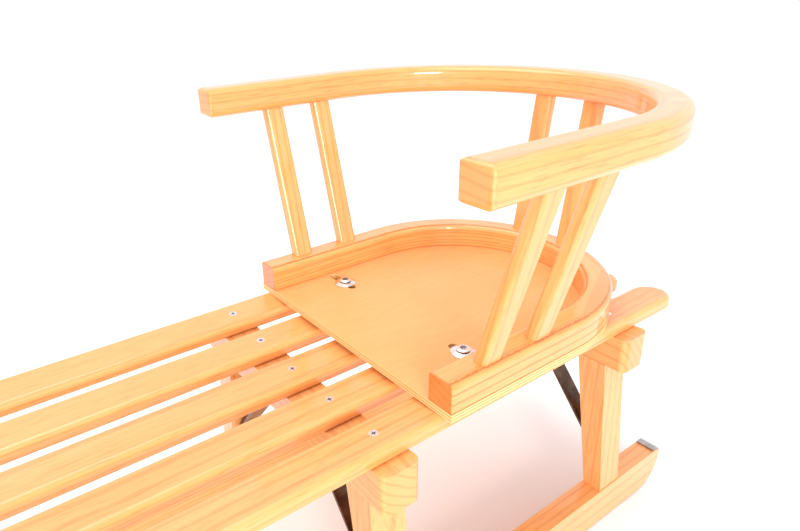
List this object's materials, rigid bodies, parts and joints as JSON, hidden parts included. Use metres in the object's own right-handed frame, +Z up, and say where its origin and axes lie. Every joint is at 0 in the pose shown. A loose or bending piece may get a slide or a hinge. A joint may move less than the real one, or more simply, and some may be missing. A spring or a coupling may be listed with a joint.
{
  "type": "sledge with child seat",
  "caption": "Slatted wooden sledge on two steel-shod runners, with a U-shaped child seat clamped to the slats by bolts and wing nuts.",
  "frame": {"origin": "on the ground, at the middle of the sledge's length and width", "axes": "+X forward towards the raised runner noses, +Y to the rider's left, +Z up"},
  "size_m": [0.9999, 0.403, 0.465],
  "materials": {
    "slat_wood": "clear lacquer, gloss",
    "frame_wood": "clear lacquer, satin gloss",
    "seat_wood": "clear lacquer, gloss",
    "plywood": "clear lacquer over beech plywood",
    "zinc_steel": "zinc plated",
    "bright_steel": "bright zinc"
  },
  "bodies": {
    "sledge": {"slat_1": "slat_wood", "slat_2": "slat_wood", "slat_3": "slat_wood", "slat_4": "slat_wood", "slat_5": "slat_wood", "front_crossbar": "frame_wood", "rear_crossbar": "frame_wood", "nose_crosspiece": "frame_wood", "front_left_leg": "frame_wood", "front_right_leg": "frame_wood", "rear_left_leg": "frame_wood", "rear_right_leg": "frame_wood", "left_runner": "frame_wood", "right_runner": "frame_wood", "left_shoe": "zinc_steel", "right_shoe": "zinc_steel", "front_left_brace": "zinc_steel", "front_right_brace": "zinc_steel", "rear_left_brace": "zinc_steel", "rear_right_brace": "zinc_steel", "front_slat_screws": "bright_steel", "rear_slat_screws": "bright_steel", "nose_slat_screws": "bright_steel", "brace_screws": "zinc_steel", "shoe_screws": "zinc_steel"},
    "child_seat": {"seat_board": "plywood", "seat_rim": "seat_wood", "arm_rail": "seat_wood", "front_left_spindle": "seat_wood", "front_right_spindle": "seat_wood", "middle_left_spindle": "seat_wood", "middle_right_spindle": "seat_wood", "back_left_spindle": "seat_wood", "back_right_spindle": "seat_wood", "rim_screws": "zinc_steel", "left_clamp_bolt": "bright_steel", "right_clamp_bolt": "bright_steel", "left_dome_washer": "bright_steel", "right_dome_washer": "bright_steel", "left_clamp_plate": "zinc_steel", "right_clamp_plate": "zinc_steel"},
    "left_nut": {"left_wing_nut": "bright_steel"},
    "right_nut": {"right_wing_nut": "bright_steel"}
  },
  "joints": [
    {"name": "seat_slide", "type": "slide", "parent": "sledge", "child": "child_seat", "axis": [1, 0, 0], "range_m": [-0.135, 0.085]},
    {"name": "left_nut_turn", "type": "hinge", "parent": "child_seat", "child": "left_nut", "pos_m": [-0.226, 0.09, 0.215], "axis": [0, 0, 1], "continuous": true},
    {"name": "right_nut_turn", "type": "hinge", "parent": "child_seat", "child": "right_nut", "pos_m": [-0.226, -0.09, 0.215], "axis": [0, 0, 1], "continuous": true}
  ]
}
